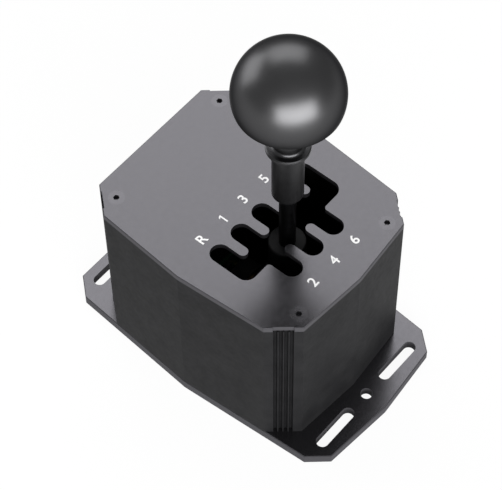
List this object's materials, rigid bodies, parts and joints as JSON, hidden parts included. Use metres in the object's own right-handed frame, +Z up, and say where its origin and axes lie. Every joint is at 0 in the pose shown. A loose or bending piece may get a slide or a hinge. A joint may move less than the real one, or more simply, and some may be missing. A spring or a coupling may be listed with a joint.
{
  "type": "sim racing gear shifter",
  "caption": "Bench-mounted H-pattern gear shifter: a ball-knob lever tilts both ways on crossed pins in a closed metal housing and is guided by the slots of a gate plate.",
  "frame": {"origin": "on the underside of the base plate, under the middle of the housing", "axes": "+Z up along the lever, +X to the driver's right, +Y forward, away from the driver"},
  "size_m": [0.115, 0.1835, 0.2501],
  "materials": {
    "base": "satin powder coat",
    "shell": "satin powder coat",
    "gate": "satin powder coat",
    "black_screw": "blackened",
    "steel": "turned",
    "bright_steel": "polished",
    "alloy": "anodised grey",
    "black_alloy": "anodised black",
    "bronze": "sintered",
    "grip": "gloss",
    "seat": "moulded",
    "circuit": "solder mask",
    "chip": "moulded"
  },
  "bodies": {
    "body": {"base_plate": "base", "housing": "shell", "gate_plate": "gate", "gate_plate_screws": "black_screw", "base_screws": "black_screw", "front_bearing_block": "alloy", "rear_bearing_block": "alloy", "block_screws": "black_screw", "block_bushes": "bronze", "left_centring_spring": "steel", "right_centring_spring": "steel", "spring_seats": "seat", "main_board": "circuit", "board_standoffs": "bronze", "board_screws": "steel", "board_chips": "chip", "cable_socket": "bright_steel", "select_sensor_board": "circuit", "select_sensor_chip": "chip", "select_sensor_posts": "bronze", "select_sensor_screws": "steel"},
    "yoke": {"yoke": "alloy", "trunnion_pins": "steel", "yoke_bushes": "bronze", "select_magnet": "bright_steel", "detent_bridge": "black_alloy", "bridge_screws": "black_screw", "detent_plunger": "steel", "detent_ball": "bright_steel", "plunger_nut": "steel", "engage_sensor_board": "circuit", "engage_sensor_chip": "chip", "engage_sensor_posts": "bronze", "engage_sensor_screws": "steel"},
    "lever": {"lever_hub": "alloy", "engage_pin": "steel", "engage_magnet": "bright_steel", "detent_cam": "steel", "cam_screws": "black_screw", "hub_set_screws": "black_screw", "lever_rod": "bright_steel", "sleeve": "black_alloy", "sleeve_flange": "black_alloy", "knob_neck": "black_alloy", "lock_nut": "steel", "knob_insert": "bronze", "knob": "grip"}
  },
  "joints": [
    {"name": "side_tilt", "type": "hinge", "parent": "body", "child": "yoke", "pos_m": [0, -0.0245, 0.036], "axis": [0, 1, 0], "range_deg": [-12.5, 12.5], "stiffness_Nm_per_rad": 2.4, "deforming": ["left_centring_spring", "right_centring_spring"]},
    {"name": "gear_shift", "type": "hinge", "parent": "yoke", "child": "lever", "pos_m": [0, -0.0245, 0.036], "axis": [-1, 0, 0], "range_deg": [-12.5, 12.5]}
  ]
}
